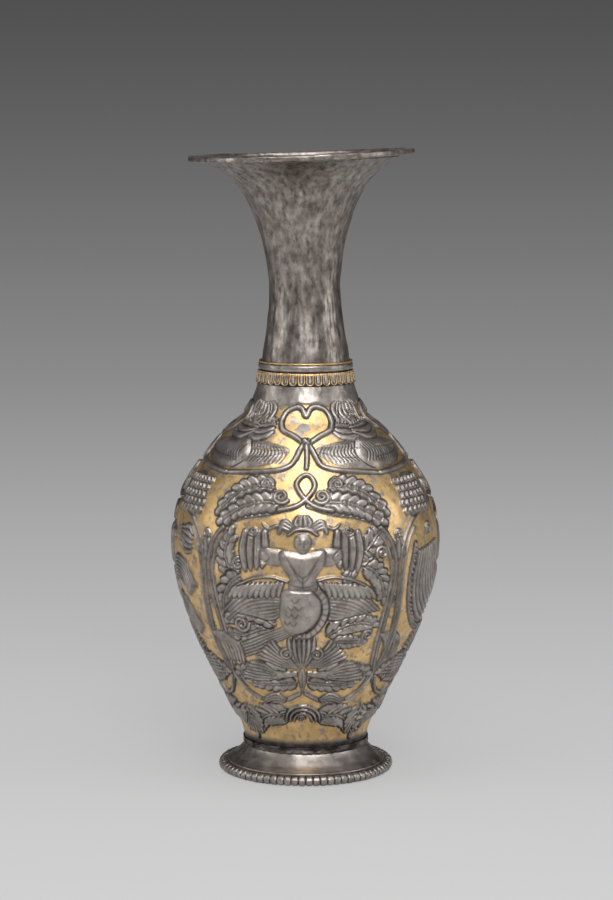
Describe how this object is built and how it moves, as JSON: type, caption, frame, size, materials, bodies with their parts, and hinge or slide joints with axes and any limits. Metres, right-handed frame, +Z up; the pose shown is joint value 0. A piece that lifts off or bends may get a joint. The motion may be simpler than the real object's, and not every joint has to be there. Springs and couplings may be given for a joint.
{
  "type": "silver vase",
  "caption": "Silver vase with a trumpet neck and flat lip, a bulging body chased with birds, leaves and half-bird figures on a gilded ground, and a beaded foot.",
  "frame": {"origin": "centre of the flat face of the base ring, on the surface that the vase stands on", "axes": "+Z up along the vase's axis; -Y towards the viewer of the picture; +X to the viewer's right"},
  "size_m": [0.0974, 0.0974, 0.2291],
  "materials": {
    "silver": "worn, tarnished silver with a soft sheen",
    "dark_silver": "dark silver sulphide on hard solder",
    "gilt": "rubbed mercury gilding over silver"
  },
  "bodies": {
    "root": {"body": "silver", "neck": "silver", "lip": "silver", "collar_ring": "silver", "collar_wire": "gilt", "petal_band": "gilt", "foot": "silver", "solder_seam": "dark_silver", "base_ring": "silver", "beaded_wire": "silver"}
  },
  "joints": []
}
